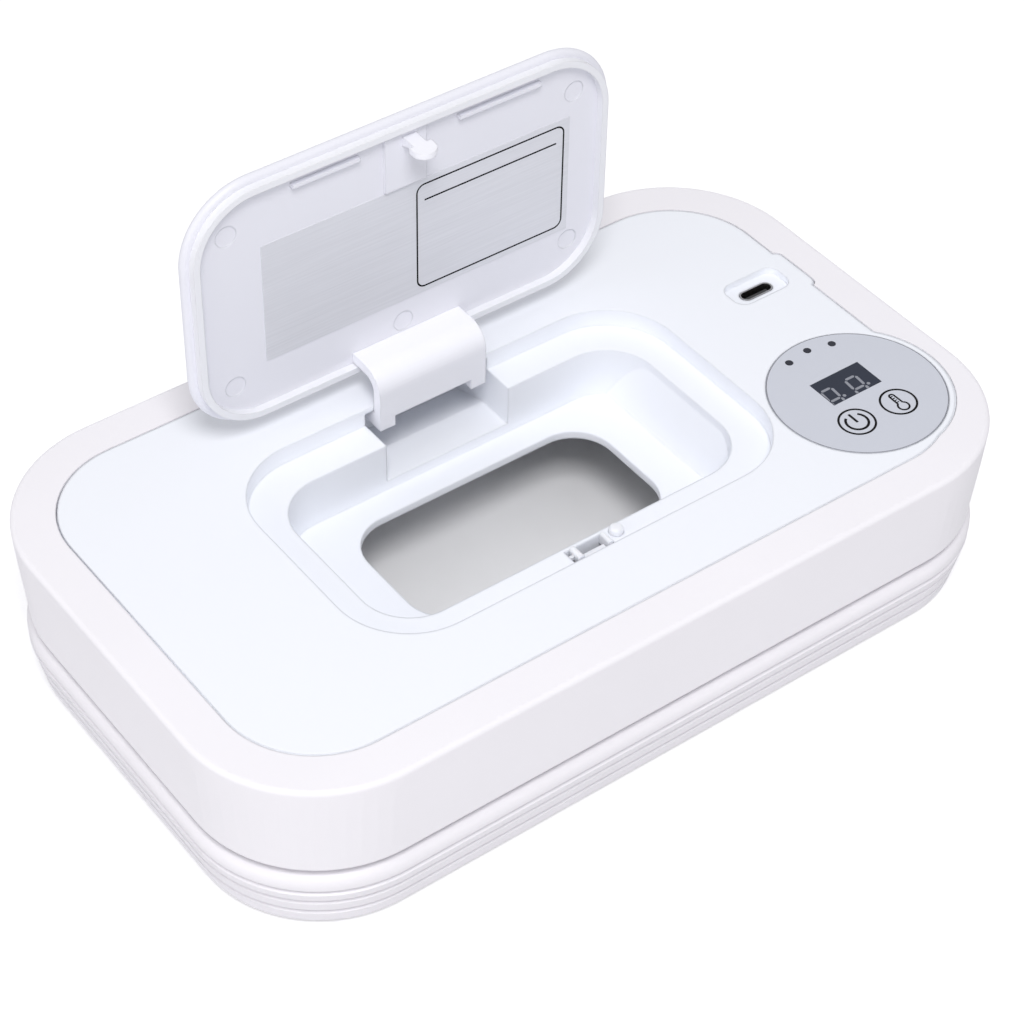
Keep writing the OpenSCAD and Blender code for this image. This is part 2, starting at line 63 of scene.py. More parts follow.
camera_data = bpy.data.cameras.new("camera")
camera_data.sensor_width = SENSOR_WIDTH
camera_data.lens = SENSOR_WIDTH * FOCAL_PIXELS / IMAGE_PIXELS
camera_data.clip_start = CLIP_START
camera = bpy.data.objects.new("camera", camera_data)
bpy.context.scene.collection.objects.link(camera)
back = Vector((
    math.sin(VIEW_AZIMUTH) * math.cos(VIEW_ELEVATION),
    -math.cos(VIEW_AZIMUTH) * math.cos(VIEW_ELEVATION),
    math.sin(VIEW_ELEVATION),
))
level_right = Vector((0, 0, 1)).cross(back).normalized()
level_up = back.cross(level_right)
right = math.cos(VIEW_ROLL) * level_right + math.sin(VIEW_ROLL) * level_up
up = back.cross(right)
turn = Matrix((right, up, back)).transposed().to_4x4()
camera.matrix_world = Matrix.Translation(VIEW_TARGET + back * VIEW_DISTANCE) @ turn
bpy.context.scene.camera = camera


# Studio
# A white table and a white surround, as in a shop photograph. A lamp high above the camera
# lights the tray through the mouth, and a low one lights the left. The floor keeps the shadow.
bpy.context.scene.view_settings.view_transform = "Standard"
FLOOR_SIZE = 6.0
FLOOR_COLOUR = (0.86, 0.86, 0.87, 1)
FLOOR_GLOW = 0.34
SURROUND_LIGHT = 0.53
SURROUND_TINT = (0.97, 0.975, 1.0, 1)
SEEN_WHITE = (1, 1, 1, 1)
LAMP_AIM = (0, 0, 30 * MM)

world = bpy.data.worlds.new("surround")
bpy.context.scene.world = world
world.use_nodes = True
sky = world.node_tree
sky.nodes.clear()
sky_out = sky.nodes.new("ShaderNodeOutputWorld")
sky_mix = sky.nodes.new("ShaderNodeMixShader")
sky_light = sky.nodes.new("ShaderNodeBackground")
sky_light.inputs["Color"].default_value = SURROUND_TINT
sky_light.inputs["Strength"].default_value = SURROUND_LIGHT
sky_white = sky.nodes.new("ShaderNodeBackground")
sky_white.inputs["Color"].default_value = SEEN_WHITE
sky_white.inputs["Strength"].default_value = 1.0
sky_path = sky.nodes.new("ShaderNodeLightPath")
sky_seen = sky.nodes.new("ShaderNodeMath")
sky_seen.operation = "MAXIMUM"
sky_all = sky.nodes.new("ShaderNodeMath")
sky_all.operation = "MAXIMUM"
sky.links.new(sky_path.outputs["Is Camera Ray"], sky_seen.inputs[0])
sky.links.new(sky_path.outputs["Is Transmission Ray"], sky_seen.inputs[1])
sky.links.new(sky_seen.outputs[0], sky_all.inputs[0])
sky.links.new(sky_path.outputs["Is Glossy Ray"], sky_all.inputs[1])
sky.links.new(sky_all.outputs[0], sky_mix.inputs["Fac"])
sky.links.new(sky_light.outputs[0], sky_mix.inputs[1])
sky.links.new(sky_white.outputs[0], sky_mix.inputs[2])
sky.links.new(sky_mix.outputs[0], sky_out.inputs["Surface"])

floor_material = bpy.data.materials.new("white_table")
floor_material.use_nodes = True
table = floor_material.node_tree
table.nodes.clear()
table_out = table.nodes.new("ShaderNodeOutputMaterial")
table_sum = table.nodes.new("ShaderNodeAddShader")
table_paint = table.nodes.new("ShaderNodeBsdfDiffuse")
table_paint.inputs["Color"].default_value = FLOOR_COLOUR
table_glow = table.nodes.new("ShaderNodeEmission")
table_path = table.nodes.new("ShaderNodeLightPath")
table_scale = table.nodes.new("ShaderNodeMath")
table_scale.operation = "MULTIPLY"
table_scale.inputs[1].default_value = FLOOR_GLOW
table.links.new(table_path.outputs["Is Camera Ray"], table_scale.inputs[0])
table.links.new(table_scale.outputs[0], table_glow.inputs["Strength"])
table.links.new(table_paint.outputs[0], table_sum.inputs[0])
table.links.new(table_glow.outputs[0], table_sum.inputs[1])
table.links.new(table_sum.outputs[0], table_out.inputs["Surface"])

floor_mesh = bpy.data.meshes.new("table_top")
half = FLOOR_SIZE / 2
corners = [(-half, -half, 0), (half, -half, 0), (half, half, 0), (-half, half, 0)]
floor_mesh.from_pydata(corners, [], [(0, 1, 2, 3)])
floor = bpy.data.objects.new("table_top", floor_mesh)
floor_mesh.materials.append(floor_material)
bpy.context.scene.collection.objects.link(floor)


def soft_lamp(name, place, size, watts, colour):
    """A wide soft lamp that looks at the middle of the warmer."""
    data = bpy.data.lights.new(name, "AREA")
    data.shape = "RECTANGLE"
    data.size, data.size_y = size
    data.energy = watts
    data.color = colour
    lamp = bpy.data.objects.new(name, data)
    lamp.location = place
    lamp.rotation_euler = (Vector(LAMP_AIM) - Vector(place)).to_track_quat("-Z", "Y").to_euler()
    bpy.context.scene.collection.objects.link(lamp)


soft_lamp("high_lamp", place=(-0.3, -0.5, 1.05), size=(0.4, 0.4), watts=6.9, colour=(1.0, 0.995, 1.0))
soft_lamp("left_lamp", place=(-1.0, -0.1, 0.4), size=(0.6, 0.5), watts=1.2, colour=(1.0, 0.985, 0.99))


# Casing
# The lower tub, injection moulded in a satin warm white. It has a rounded lip, three thin
# grooves round its foot and a neck that goes up inside the rim band. Its lip stands out
# further than the solid's, and its grooves lie further apart.
def add_socket(group, name, kind, out=False, value=None):
    """Adds one named socket to a node group."""
    spot = group.interface.new_socket(name, in_out="OUTPUT" if out else "INPUT", socket_type=kind)
    if value is not None:
        spot.default_value = value


def build_moulded_skin():
    """Soft edges, fine spark grain and a faint cloudiness of tone, as a moulded plastic has."""
    group = bpy.data.node_groups.new("moulded_skin", "ShaderNodeTree")
    add_socket(group, "Edge Radius", "NodeSocketFloat", value=0.4 * MM)
    add_socket(group, "Grain Scale", "NodeSocketFloat", value=2600.0)
    add_socket(group, "Grain Depth", "NodeSocketFloat", value=0.01 * MM)
    add_socket(group, "Cloud Scale", "NodeSocketFloat", value=22.0)
    add_socket(group, "Cloud Low", "NodeSocketFloat", value=0.97)
    add_socket(group, "Normal", "NodeSocketVector", out=True)
    add_socket(group, "Tone", "NodeSocketFloat", out=True)
    add_socket(group, "Polish", "NodeSocketFloat", out=True)
    n, link = group.nodes, group.links.new
    given = n.new("NodeGroupInput")
    made = n.new("NodeGroupOutput")
    place = n.new("ShaderNodeTexCoord")
    edge = n.new("ShaderNodeBevel")
    edge.samples = 6
    grain = n.new("ShaderNodeTexNoise")
    grain.inputs["Detail"].default_value = 3.0
    grain.inputs["Roughness"].default_value = 0.6
    bump = n.new("ShaderNodeBump")
    bump.inputs["Strength"].default_value = 0.6
    cloud = n.new("ShaderNodeTexNoise")
    cloud.inputs["Detail"].default_value = 4.0
    tone = n.new("ShaderNodeMapRange")
    tone.inputs["From Min"].default_value = 0.3
    tone.inputs["From Max"].default_value = 0.7
    tone.inputs["To Max"].default_value = 1.0
    link(given.outputs["Edge Radius"], edge.inputs["Radius"])
    link(place.outputs["Object"], grain.inputs["Vector"])
    link(given.outputs["Grain Scale"], grain.inputs["Scale"])
    link(grain.outputs["Fac"], bump.inputs["Height"])
    link(given.outputs["Grain Depth"], bump.inputs["Distance"])
    link(edge.outputs["Normal"], bump.inputs["Normal"])
    link(place.outputs["Object"], cloud.inputs["Vector"])
    link(given.outputs["Cloud Scale"], cloud.inputs["Scale"])
    link(cloud.outputs["Fac"], tone.inputs["Value"])
    link(given.outputs["Cloud Low"], tone.inputs["To Min"])
    link(bump.outputs["Normal"], made.inputs["Normal"])
    link(tone.outputs["Result"], made.inputs["Tone"])
    link(cloud.outputs["Fac"], made.inputs["Polish"])
    return group


moulded_skin = build_moulded_skin()
COAT_ROUGHNESS = 0.12
GLOW_SPREAD = (1.0, 0.9, 0.85)
GLOW_DEPTH = 2.0 * MM


def moulded(name, colour, roughness, edge=0.4, grain=2600.0, depth=0.01, cloud_low=0.97,
            spread=0.08, coat=0.0, subsurface=0.0, metallic=0.0, specular=0.5):
    """A moulded or coated finish: colour with its cloudiness, soft edges and grain."""
    material = bpy.data.materials.new(name)
    material.use_nodes = True
    tree = material.node_tree
    shader = tree.nodes["Principled BSDF"]
    skin = tree.nodes.new("ShaderNodeGroup")
    skin.node_tree = moulded_skin
    skin.inputs["Edge Radius"].default_value = edge * MM
    skin.inputs["Grain Scale"].default_value = grain
    skin.inputs["Grain Depth"].default_value = depth * MM
    skin.inputs["Cloud Low"].default_value = cloud_low
    tint = tree.nodes.new("ShaderNodeMix")
    tint.data_type = "RGBA"
    tint.blend_type = "MULTIPLY"
    tint.inputs["Factor"].default_value = 1.0
    tint.inputs["A"].default_value = (*colour, 1)
    polish = tree.nodes.new("ShaderNodeMapRange")
    polish.inputs["To Min"].default_value = roughness - spread
    polish.inputs["To Max"].default_value = roughness + spread
    tree.links.new(skin.outputs["Tone"], tint.inputs["B"])
    tree.links.new(tint.outputs["Result"], shader.inputs["Base Color"])
    tree.links.new(skin.outputs["Polish"], polish.inputs["Value"])
    tree.links.new(polish.outputs["Result"], shader.inputs["Roughness"])
    tree.links.new(skin.outputs["Normal"], shader.inputs["Normal"])
    shader.inputs["Metallic"].default_value = metallic
    shader.inputs["Specular IOR Level"].default_value = specular
    shader.inputs["Coat Weight"].default_value = coat
    shader.inputs["Coat Roughness"].default_value = COAT_ROUGHNESS
    if subsurface:
        shader.inputs["Subsurface Weight"].default_value = subsurface
        shader.inputs["Subsurface Radius"].default_value = GLOW_SPREAD
        shader.inputs["Subsurface Scale"].default_value = GLOW_DEPTH
    return material


def dress(material, *names):
    """Gives CAD nodes a finish, in place of the plain one that they were packed with."""
    for name in names:
        mesh = nodes[name].data
        mesh.materials.clear()
        mesh.materials.append(material)


CASING_WHITE = (0.885, 0.865, 0.90)
CASING_CORNER = 27.4 * MM
SKIN_DEPTH = 2.25 * MM
SHOULDER = 17.3 * MM
LIP_OUT = 3.3 * MM
LIP_RISE = -0.5 * MM
LIP_AT = 12.0 * MM
BASE_SHARE = 0.25
GROOVES_UNDER = 10.0 * MM
GROOVES_OVER = 2.5 * MM
GROOVES_APART = 1.5
GROOVES_UP = 0.1 * MM
casing_finish = moulded("casing_white", CASING_WHITE, 0.42, edge=0.5, depth=0.012)


def add_piece(name, verts, faces, material, body, slot):
    """Makes a mesh piece in the frame's own place and lets it ride on a body."""
    mesh = bpy.data.meshes.new(name)
    mesh.from_pydata([tuple(v) for v in verts], [], faces)
    mesh.update()
    mesh.materials.append(material)
    piece = bpy.data.objects.new(name, mesh)
    bpy.context.scene.collection.objects.link(piece)
    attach(piece, body)
    return piece


def outward(place, high, corner):
    """The way straight out of a rounded rectangle, and how deep in it the place lies."""
    beyond = Vector((max(abs(place.x) - high.x + corner, 0), max(abs(place.y) - high.y + corner, 0)))
    way = Vector((math.copysign(beyond.x, place.x), math.copysign(beyond.y, place.y), 0)).normalized()
    return way, corner - beyond.length


def mesh_data(mesh):
    """The points and faces of a mesh, as add_piece takes them."""
    verts = [vertex.co.copy() for vertex in mesh.vertices]
    return verts, [tuple(face.vertices) for face in mesh.polygons]


def build_casing_skin():
    """The casing with a lip that stands out under the rim band, and grooves further apart."""
    verts, faces = mesh_data(nodes["casing"].data)
    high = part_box("casing")[1]
    for place in verts:
        way, depth = outward(place, high, CASING_CORNER)
        if place.z > SHOULDER or depth > SKIN_DEPTH:
            continue
        if GROOVES_OVER < place.z < GROOVES_UNDER:
            place.z = place.z * GROOVES_APART + GROOVES_UP
        if place.z > LIP_AT:
            place.z += LIP_RISE
        place += way * LIP_OUT * (BASE_SHARE + (1 - BASE_SHARE) * min(place.z / LIP_AT, 1))
    return verts, faces


casing_skin = add_piece("casing_skin", *build_casing_skin(), casing_finish, "base", "casing_plastic")
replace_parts(casing_skin, "casing")


# Tray
# A thin pressed liner that lies loose on the casing's floor, in light grey. It is the pale
# ground that shows through the dispensing mouth.
TRAY_GREY = (0.95, 0.95, 0.96)
dress(moulded("tray_grey", TRAY_GREY, 0.5, edge=0.6, grain=1500.0, depth=0.02, cloud_low=0.93),
      "tray")


# Feet
# Four round pads of dark grey rubber, glued into shallow pockets under the casing. Only
# their undersides touch the table.
FOOT_COUNT = 4
FOOT_GREY = (0.06, 0.06, 0.065)
dress(moulded("foot_rubber", FOOT_GREY, 0.8, edge=0.4, grain=1800.0, depth=0.03, cloud_low=0.8),
      *[f"foot_{i}" for i in range(FOOT_COUNT)])


# Rim band
# One soft-edged ring in satin warm white, a little pink beside the plate. It overhangs the
# casing, and its inner shelf carries the top plate. Its top edge is tighter than the solid's.
BAND_WHITE = (0.93, 0.91, 0.945)
BAND_CORNER = 31.4 * MM
LEVEL = 0.02 * MM
CAD_LEAN = 3.0 * MM
CAD_ROUND = 2.8 * MM
LEAN = 1.6 * MM
EDGE_ROUND = 1.1 * MM
band_finish = moulded("band_white", BAND_WHITE, 0.46, edge=0.5, depth=0.014, cloud_low=0.975)


def build_band_skin():
    """The band with a tighter top edge and a side that leans in less."""
    verts, faces = mesh_data(nodes["band"].data)
    low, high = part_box("band")
    round_z = high.z - CAD_ROUND
    for place in verts:
        way, depth = outward(place, high, BAND_CORNER)
        if place.z > round_z - LEVEL and depth < CAD_ROUND + LEVEL:
            rise = min(max((place.z - round_z) / CAD_ROUND, 0), 1)
            new_depth = EDGE_ROUND * (1 - math.sqrt(max(1 - rise * rise, 0)))
            place.z = high.z - EDGE_ROUND + EDGE_ROUND * rise
        elif depth < CAD_LEAN * (round_z - place.z) / (round_z - low.z) + LEVEL:
            new_depth = depth * LEAN / CAD_LEAN
        else:
            continue
        place += way * (depth - new_depth)
    return verts, faces


band_skin = add_piece("band_skin", *build_band_skin(), band_finish, "cover", "band_plastic")
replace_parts(band_skin, "band")


# Top plate
# The cool white moulding with the lid recess, the dispensing well, the mouth and the hinge
# slot, all in one piece. It has a smooth face and slightly rounded edges.
PLATE_WHITE = (0.915, 0.935, 0.985)
plate_finish = moulded("plate_white", PLATE_WHITE, 0.42, edge=0.8, grain=3200.0, depth=0.004,
                       cloud_low=0.995, spread=0.03, specular=0.35)
dress(plate_finish, "top_plate", "latch_case")


# Plate seat
# The step of the plate's edge that closes the groove beside the rim band. It lies just under
# the face at the front and deeper towards the hinge, where the groove shows as a dark line.
SEAT_WIDTH = 0.27 * MM
SEAT_FRONT = 0.12 * MM
SEAT_BACK = 1.3 * MM
SEAT_THICK = 0.1 * MM
SEAT_FALL_FROM = -0.2
FACING_UP = 0.9


def outer_edge(mesh):
    """The longest closed run of edges where the plate's top face meets its upright side."""
    plate = bmesh.new()
    plate.from_mesh(mesh)
    bmesh.ops.remove_doubles(plate, verts=plate.verts, dist=LEVEL / 10)
    top = max(v.co.z for v in plate.verts)
    nexts = {}
    for edge in plate.edges:
        flat = all(abs(v.co.z - top) < LEVEL for v in edge.verts)
        ups = sum(face.normal.z > FACING_UP for face in edge.link_faces)
        if flat and ups == 1 and len(edge.link_faces) == 2:
            a, b = edge.verts
            nexts.setdefault(a.index, []).append(b.index)
            nexts.setdefault(b.index, []).append(a.index)
    plate.verts.ensure_lookup_table()
    runs, seen = [], set()
    for start in nexts:
        run, at = [], start
        while at is not None and at not in seen:
            seen.add(at)
            run.append(plate.verts[at].co.copy())
            at = next((n for n in nexts[at] if n not in seen), None)
        runs.append(run)
    plate.free()
    return max(runs, key=lambda run: sum((p - q).length for p, q in zip(run, run[1:])))


def build_plate_seat():
    """A thin strip round the plate's edge that falls away towards the hinge side."""
    edge = outer_edge(nodes["top_plate"].data)
    count = len(edge)
    area = sum(p.x * q.y - q.x * p.y for p, q in zip(edge, edge[1:] + edge[:1]))
    sense = 1 if area > 0 else -1
    verts, faces = [], []
    half_depth = max(p.y for p in edge)
    for i, p in enumerate(edge):
        way = (edge[(i + 1) % count] - edge[i - 1]).normalized()
        side = Vector((way.y, -way.x, 0)) * sense
        share = min(max(p.y / half_depth - SEAT_FALL_FROM, 0.0), 1.0)
        drop = SEAT_FRONT + (SEAT_BACK - SEAT_FRONT) * share
        for reach in (0.0, SEAT_WIDTH):
            for level in (drop, drop + SEAT_THICK):
                verts.append(p + side * reach - Vector((0, 0, level)))
    for i in range(count):
        a, b = 4 * i, 4 * ((i + 1) % count)
        quads = [(a, b, b + 2, a + 2), (a + 1, a + 3, b + 3, b + 1),
                 (a, a + 1, b + 1, b), (a + 2, b + 2, b + 3, a + 3)]
        faces += [quad[::-1] if sense > 0 else quad for quad in quads]
    return verts, faces


add_piece("plate_seat", *build_plate_seat(), plate_finish, "cover", "plate_plastic")


# Warming frame
# A light grey ring under the plate that goes round the pack of wipes, wrapped in an amber
# heater film, with a small black probe on its inner face.
FRAME_WHITE = (0.9, 0.9, 0.91)
FILM_AMBER = (0.55, 0.22, 0.04)
TRACK_AMBER = (0.72, 0.42, 0.18)
PROBE_BLACK = (0.02, 0.02, 0.022)
dress(moulded("frame_white", FRAME_WHITE, 0.45, edge=0.4), "warming_frame")


def blend_in(material, colour, share):
    """Mixes a second colour into a finish's own, by a texture's output."""
    tree = material.node_tree
    base = tree.nodes["Principled BSDF"].inputs["Base Color"]
    blend = tree.nodes.new("ShaderNodeMix")
    blend.data_type = "RGBA"
    blend.inputs["B"].default_value = (*colour, 1)
    tree.links.new(share, blend.inputs["Factor"])
    tree.links.new(base.links[0].from_socket, blend.inputs["A"])
    tree.links.new(blend.outputs["Result"], base)


def heater_film_material():
    """Amber film with the pale winding tracks of the heater showing through."""
    material = moulded("heater_film", FILM_AMBER, 0.3, edge=0.1, depth=0.02, cloud_low=0.85, coat=0.4)
    tree = material.node_tree
    place = tree.nodes.new("ShaderNodeTexCoord")
    tracks = tree.nodes.new("ShaderNodeTexWave")
    tracks.bands_direction = "Z"
    tracks.inputs["Scale"].default_value = 90.0
    tracks.inputs["Distortion"].default_value = 0.4
    tree.links.new(place.outputs["Object"], tracks.inputs["Vector"])
    blend_in(material, TRACK_AMBER, tracks.outputs["Fac"])
    return material


dress(heater_film_material(), "heater_foil")
dress(moulded("probe_black", PROBE_BLACK, 0.4), "temperature_probe")


# Control disc
# A grey printed film in a round seat of the plate, with two round touch keys. The ring of
# each key, the power sign and the thermometer sign are black ink. A thin dark grey ring just
# inside the disc's rim is painted shade, standing in for the shadowed gap beside the plate.
DISC_GREY = (0.62, 0.64, 0.705)
INK_BLACK = (0.004, 0.004, 0.005)
# The dark grey of the painted shade ring round the disc's rim, in place of the gap's shadow.
EDGE_SHADE_GREY = (0.12, 0.12, 0.14)
LAYER_RISE = 0.02 * MM
LINE_WIDTH = 0.52 * MM
SIGN_WIDTH = 0.6 * MM
KEY_RADIUS = 4.1 * MM
POWER_KEY = Vector((-6.7, -7.5)) * MM
HEAT_KEY = Vector((5.2, -7.8)) * MM
POWER_RADIUS = 2.55 * MM
POWER_ARC = (122, 408)
POWER_BAR = (Vector((0, -0.2)) * MM, Vector((0, 2.9)) * MM)
BULB = HEAT_KEY + Vector((0, -1.7)) * MM
BULB_RADIUS = 1.3 * MM
BULB_ARC = (120, 420)
STEM_TOP = HEAT_KEY + Vector((0, 2.2)) * MM
STEM_HALF = 0.6 * MM
HEAT_LINE = 0.46 * MM
MARK_COUNT = 4
MARK_STEP = 0.7 * MM
MARK_LINE = 0.28 * MM
MARK_END = 0.15 * MM
EDGE_SHADE_WIDTH = 0.12 * MM
dress(moulded("disc_grey", DISC_GREY, 0.45, edge=0.1, grain=4200.0, depth=0.004, cloud_low=0.985,
              spread=0.04, specular=0.3), "control_disc")
disc_low, disc_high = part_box("control_disc")
disc_centre = (disc_low + disc_high) / 2
disc_radius = (disc_high.x - disc_low.x) / 2
ink = moulded("ink_black", INK_BLACK, 0.6, edge=0.02, grain=6000.0, depth=0.002, cloud_low=0.8,
              specular=0.1)


def stroke(path, width, height, closed=False):
    """A flat line of print or painted shade: a ribbon along 2-D points, with square ends and a thin
    edge.
    """
    verts, faces = [], []
    count = len(path)
    for i, p in enumerate(path):
        before = path[(i - 1) % count] if closed or i else p
        after = path[(i + 1) % count] if closed or i < count - 1 else p
        way = (after - before).normalized()
        side = Vector((-way.y, way.x)) * width / 2
        for z in (0.0, height):
            verts += [(p.x + side.x, p.y + side.y, z), (p.x - side.x, p.y - side.y, z)]
    steps = count if closed else count - 1
    for i in range(steps):
        a, b = 4 * i, 4 * ((i + 1) % count)
        faces += [(a + 2, b + 2, b + 3, a + 3), (a, a + 1, b + 1, b),
                  (a, b, b + 2, a + 2), (a + 1, a + 3, b + 3, b + 1)]
    if not closed:
        last = 4 * (count - 1)
        faces += [(0, 2, 3, 1), (last, last + 1, last + 3, last + 2)]
    return verts, faces


def arc_path(centre, radius, start, end, count):
    """Points along an arc, between two angles in degrees."""
    turns = [math.radians(start + (end - start) * i / count) for i in range(count + 1)]
    return [Vector((centre.x + radius * math.cos(a), centre.y + radius * math.sin(a))) for a in turns]


def joined(parts):
    """Puts several shapes into one list of points and faces."""
    verts, faces = [], []
    for part_verts, part_faces in parts:
        offset = len(verts)
        verts += part_verts
        faces += [tuple(offset + k for k in face) for face in part_faces]
    return verts, faces


def ring(centre, radius, width, height, count=72):
    """A circle: a printed ring, or the painted shade ring round the disc's rim."""
    path = arc_path(centre, radius, 0, 360 * (count - 1) / count, count - 1)
    return stroke(path, width, height, closed=True)


def on_disc(shape):
    """A shape drawn about the disc's middle, moved onto its face."""
    verts, faces = shape
    base = Vector((disc_centre.x, disc_centre.y, disc_high.z))
    return [Vector(v) + base for v in verts], faces


power_sign = joined([
    ring(POWER_KEY, KEY_RADIUS, LINE_WIDTH, LAYER_RISE),
    stroke(arc_path(POWER_KEY, POWER_RADIUS, *POWER_ARC, 40), SIGN_WIDTH, LAYER_RISE),
    stroke([POWER_KEY + end for end in POWER_BAR], SIGN_WIDTH, LAYER_RISE),
])
add_piece("power_key_print", *on_disc(power_sign), ink, "cover", "dark_plastic")
heat_outline = (arc_path(BULB, BULB_RADIUS, *BULB_ARC, 28)
                + arc_path(STEM_TOP, STEM_HALF, 0, 180, 10))
mark_heights = [HEAT_KEY.y + k * MARK_STEP for k in range(MARK_COUNT)]
heat_sign = joined([
    ring(HEAT_KEY, KEY_RADIUS, LINE_WIDTH, LAYER_RISE),
    stroke(heat_outline, HEAT_LINE, LAYER_RISE, closed=True),
] + [
    stroke([Vector((HEAT_KEY.x - STEM_HALF, y)), Vector((HEAT_KEY.x + MARK_END, y))],
           MARK_LINE, LAYER_RISE)
    for y in mark_heights
])
add_piece("heat_key_print", *on_disc(heat_sign), ink, "cover", "dark_plastic")
# Painted shade: a thin dark grey ring just inside the disc's rim, where the gap beside the plate falls
# in shade.
edge_shade_ring = ring(Vector((0, 0)), disc_radius - EDGE_SHADE_WIDTH, EDGE_SHADE_WIDTH, LAYER_RISE, count=144)
edge_shade_paint = moulded("edge_painted_shade", EDGE_SHADE_GREY, 0.6, edge=0.02, depth=0.002, cloud_low=0.8)
add_piece("disc_edge_painted_shade", *on_disc(edge_shade_ring), edge_shade_paint, "cover", "dark_plastic")


# Display
# A dark slate window in the disc. The upper halves of two unlit digits show pale through it,
# as the display module sits too far forward and the window's front edge cuts them off.
WINDOW_SLATE = (0.03, 0.036, 0.056)
MODULE_GREY = (0.05, 0.05, 0.055)
SEGMENT_GREY = (0.30, 0.31, 0.35)
SEGMENT_ACROSS = 3.1 * MM
SEGMENT_DOWN = 3.7 * MM
SEGMENT_WIDTH = 0.66 * MM
SEGMENT_GAP = 0.2 * MM
SLANT = 0.08
DIGIT_TOPS = (Vector((-6.7, 0.9)) * MM, Vector((0.4, 0.9)) * MM)
POINT_AT = Vector((0.95, -0.1)) * MM
POINT_RADIUS = 0.42 * MM
WINDOW_SHARE = 0.985
dress(moulded("window_slate", WINDOW_SLATE, 0.35, edge=0.1, depth=0.002, cloud_low=0.85, specular=0.15),
      "display_window")
dress(moulded("module_grey", MODULE_GREY, 0.5), "display_module")
segment_pale = moulded("segment_pale", SEGMENT_GREY, 0.45, edge=0.02, depth=0.002, cloud_low=0.9,
                       specular=0.15)
window_low, window_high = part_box("display_window")
window_centre = (window_low + window_high) / 2


def segment_bar(start, end):
    """One bar of a digit, with pointed ends."""
    way = (end - start).normalized()
    side = Vector((-way.y, way.x)) * SEGMENT_WIDTH / 2
    a, b = start + way * SEGMENT_GAP, end - way * SEGMENT_GAP
    point = way * SEGMENT_WIDTH / 2
    return [a, a + point + side, b - point + side, b, b - point - side, a + point - side]


def clipped(outline, low, high):
    """Cuts a convex outline to the window."""
    for axis, limit, sign in ((0, low.x, 1), (0, high.x, -1), (1, low.y, 1), (1, high.y, -1)):
        kept = []
        for i, p in enumerate(outline):
            q = outline[(i + 1) % len(outline)]
            p_in, q_in = (p[axis] - limit) * sign >= 0, (q[axis] - limit) * sign >= 0
            if p_in:
                kept.append(p)
            if p_in != q_in:
                kept.append(p.lerp(q, (limit - p[axis]) / (q[axis] - p[axis])))
        outline = kept
        if len(outline) < 3:
            return []
    return outline


def slab(outline, height):
    """A flat plate of one thickness from a closed outline."""
    count = len(outline)
    verts = [(p.x, p.y, 0.0) for p in outline] + [(p.x, p.y, height) for p in outline]
    sides = [(i, (i + 1) % count, count + (i + 1) % count, count + i) for i in range(count)]
    return verts, [tuple(range(count - 1, -1, -1)), tuple(range(count, 2 * count))] + sides


def digit_bars(top_left):
    """The seven bars of a digit and its point, as outlines."""
    corners = [[top_left + Vector((SEGMENT_ACROSS * x - SLANT * SEGMENT_DOWN * y, -SEGMENT_DOWN * y))
                for x in (0, 1)] for y in (0, 1, 2)]
    bars = [segment_bar(row[0], row[1]) for row in corners]
    bars += [segment_bar(corners[y + 1][x], corners[y][x]) for x in (0, 1) for y in (0, 1)]
    return bars + [arc_path(corners[1][1] + POINT_AT, POINT_RADIUS, 0, 345, 23)]


window_half = (window_high - window_low) / 2
low_edge = Vector((-window_half.x, -window_half.y)) * WINDOW_SHARE
high_edge = -low_edge
shapes = [clipped(bar, low_edge, high_edge) for top in DIGIT_TOPS for bar in digit_bars(top)]
digits = joined([slab(shape, LAYER_RISE) for shape in shapes if shape])
digit_base = Vector((window_centre.x, window_centre.y, window_high.z))
add_piece("display_digits", [Vector(v) + digit_base for v in digits[0]], digits[1], segment_pale,
          "cover", "indicator")


# Indicator lights
# Three small lenses in an arc on the hinge side of the display. They are unlit, so they show
# as dark dots in the grey film.
LENS_DARK = (0.02, 0.022, 0.035)
dress(moulded("lens_dark", LENS_DARK, 0.35, edge=0.15, depth=0.002, cloud_low=0.85, specular=0.25),
      "led_0", "led_1", "led_2")


# Circuit boards and touch springs
# Green boards under the plate, one below the disc and one below the socket. A gold spring
# under each key carries the touch.
BOARD_GREEN = (0.02, 0.12, 0.05)
SPRING_GOLD = (0.75, 0.55, 0.22)
dress(moulded("board_green", BOARD_GREEN, 0.35, edge=0.1, grain=900.0, depth=0.02, cloud_low=0.7,
              coat=0.3), "control_board", "socket_board")
dress(moulded("spring_gold", SPRING_GOLD, 0.25, edge=0.05, metallic=1.0),
      "touch_spring_0", "touch_spring_1")


# Charging socket
# A pressed steel shell with a dark tongue, upright in its shallow pocket, with gold contacts
# on both faces of the tongue.
SHELL_STEEL = (0.34, 0.34, 0.36)
TONGUE_BLACK = (0.03, 0.03, 0.032)
CONTACT_GOLD = (0.8, 0.6, 0.25)
CONTACT_COUNT = 10
CONTACT_DROP = 0.3 * MM
CONTACT_SIZE = Vector((0.28, 0.03, 3.2)) * MM
dress(moulded("shell_steel", SHELL_STEEL, 0.28, edge=0.05, depth=0.004, metallic=1.0), "socket_shell")
dress(moulded("tongue_black", TONGUE_BLACK, 0.45, edge=0.06), "socket_tongue")
tongue_low, tongue_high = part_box("socket_tongue")


def brick(low, high):
    """The eight corners and six faces of a straight-sided strip."""
    verts = [(x, y, z) for z in (low.z, high.z) for x, y in
             ((low.x, low.y), (high.x, low.y), (high.x, high.y), (low.x, high.y))]
    return verts, [(3, 2, 1, 0), (4, 5, 6, 7), (0, 1, 5, 4), (1, 2, 6, 5), (2, 3, 7, 6), (3, 0, 4, 7)]


